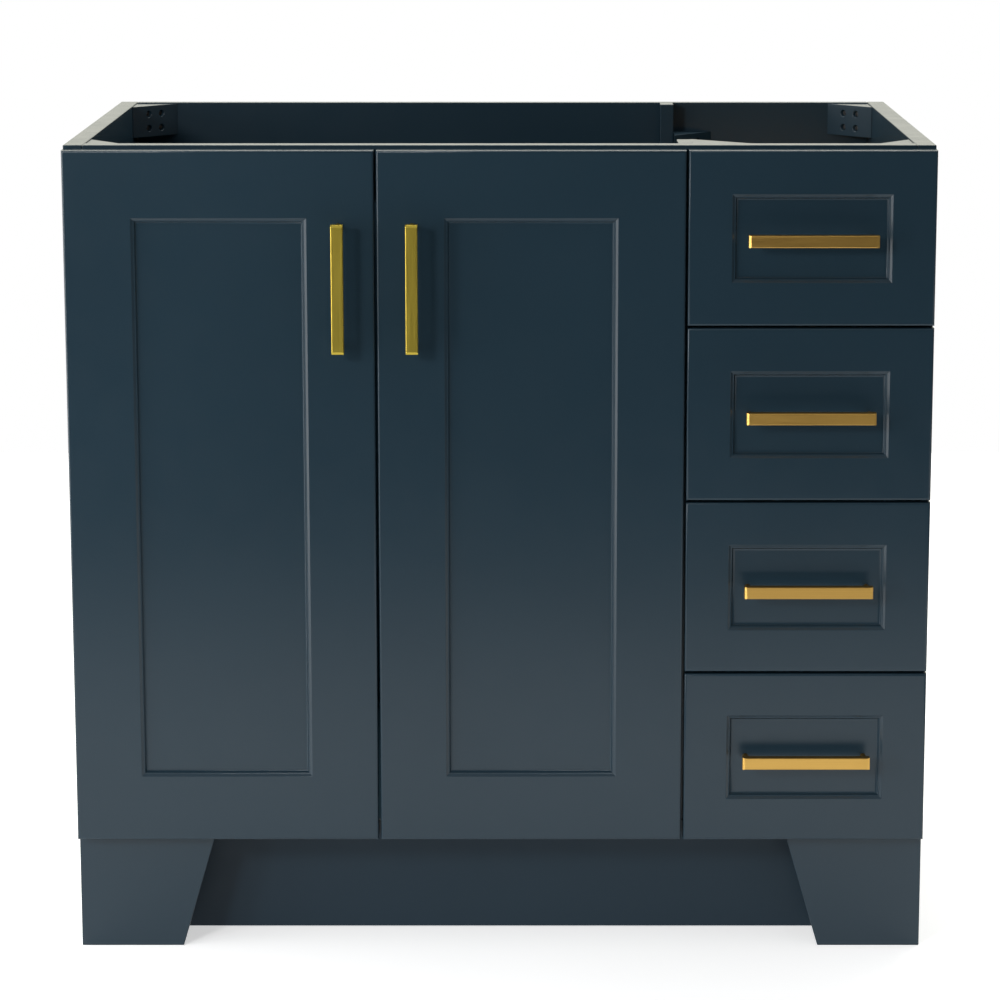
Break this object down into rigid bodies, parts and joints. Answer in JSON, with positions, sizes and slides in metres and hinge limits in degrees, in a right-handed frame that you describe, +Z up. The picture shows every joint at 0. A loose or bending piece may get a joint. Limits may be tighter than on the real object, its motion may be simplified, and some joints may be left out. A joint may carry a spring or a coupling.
{
  "type": "bathroom vanity cabinet",
  "caption": "Free-standing vanity base with an open top, a sink bay behind framed hinged doors, a bank of drawers beside it, bar pulls and tapered feet.",
  "frame": {"origin": "on the floor, under the middle of the overall box with the pulls included", "axes": "+X along the width to the viewer's right when facing the doors, +Y from the doors towards the wall, +Z up"},
  "size_m": [0.9144, 0.578, 0.8763],
  "materials": {
    "navy_paint": "satin dark blue-grey paint on plywood and fibreboard",
    "gold_metal": "satin gold",
    "zinc_steel": "bright zinc",
    "birch": "clear lacquer"
  },
  "bodies": {
    "cabinet": {"side_panel_left": "navy_paint", "side_panel_right": "navy_paint", "partition_panel": "navy_paint", "bottom_panel": "navy_paint", "back_panel": "navy_paint", "front_top_rail": "navy_paint", "toe_kick_board": "navy_paint", "front_foot_left": "navy_paint", "front_foot_right": "navy_paint", "corner_block_front_left": "navy_paint", "corner_block_front_right": "navy_paint", "corner_block_rear_left": "navy_paint", "corner_block_rear_right": "navy_paint", "corner_block_bay_front": "navy_paint", "corner_block_bay_rear": "navy_paint", "hinge_arm_left_upper": "zinc_steel", "hinge_arm_left_lower": "zinc_steel", "hinge_arm_right_upper": "zinc_steel", "hinge_arm_right_lower": "zinc_steel", "slide_rail_1_left": "zinc_steel", "slide_rail_1_right": "zinc_steel", "slide_rail_2_left": "zinc_steel", "slide_rail_2_right": "zinc_steel", "slide_rail_3_left": "zinc_steel", "slide_rail_3_right": "zinc_steel", "slide_rail_4_left": "zinc_steel", "slide_rail_4_right": "zinc_steel"},
    "door_left_leaf": {"door_left": "navy_paint", "hinge_cup_left_upper": "zinc_steel", "hinge_cup_left_lower": "zinc_steel", "pull_door_left": "gold_metal"},
    "door_right_leaf": {"door_right": "navy_paint", "hinge_cup_right_upper": "zinc_steel", "hinge_cup_right_lower": "zinc_steel", "pull_door_right": "gold_metal"},
    "drawer_1": {"drawer_front_1": "navy_paint", "drawer_box_1": "birch", "drawer_bottom_1": "birch", "pull_drawer_1": "gold_metal", "slide_runner_1_left": "zinc_steel", "slide_runner_1_right": "zinc_steel"},
    "drawer_2": {"drawer_front_2": "navy_paint", "drawer_box_2": "birch", "drawer_bottom_2": "birch", "pull_drawer_2": "gold_metal", "slide_runner_2_left": "zinc_steel", "slide_runner_2_right": "zinc_steel"},
    "drawer_3": {"drawer_front_3": "navy_paint", "drawer_box_3": "birch", "drawer_bottom_3": "birch", "pull_drawer_3": "gold_metal", "slide_runner_3_left": "zinc_steel", "slide_runner_3_right": "zinc_steel"},
    "drawer_4": {"drawer_front_4": "navy_paint", "drawer_box_4": "birch", "drawer_bottom_4": "birch", "pull_drawer_4": "gold_metal", "slide_runner_4_left": "zinc_steel", "slide_runner_4_right": "zinc_steel"}
  },
  "joints": [
    {"name": "door_left_hinge", "type": "hinge", "parent": "cabinet", "child": "door_left_leaf", "pos_m": [-0.4567, -0.257, 0.49975], "axis": [0, 0, 1], "range_deg": [-105, 0]},
    {"name": "door_right_hinge", "type": "hinge", "parent": "cabinet", "child": "door_right_leaf", "pos_m": [0.1949, -0.257, 0.49975], "axis": [0, 0, -1], "range_deg": [-105, 0]},
    {"name": "drawer_1_slide", "type": "slide", "parent": "cabinet", "child": "drawer_1", "axis": [0, -1, 0], "range_m": [0, 0.34]},
    {"name": "drawer_2_slide", "type": "slide", "parent": "cabinet", "child": "drawer_2", "axis": [0, -1, 0], "range_m": [0, 0.34]},
    {"name": "drawer_3_slide", "type": "slide", "parent": "cabinet", "child": "drawer_3", "axis": [0, -1, 0], "range_m": [0, 0.34]},
    {"name": "drawer_4_slide", "type": "slide", "parent": "cabinet", "child": "drawer_4", "axis": [0, -1, 0], "range_m": [0, 0.34]}
  ]
}
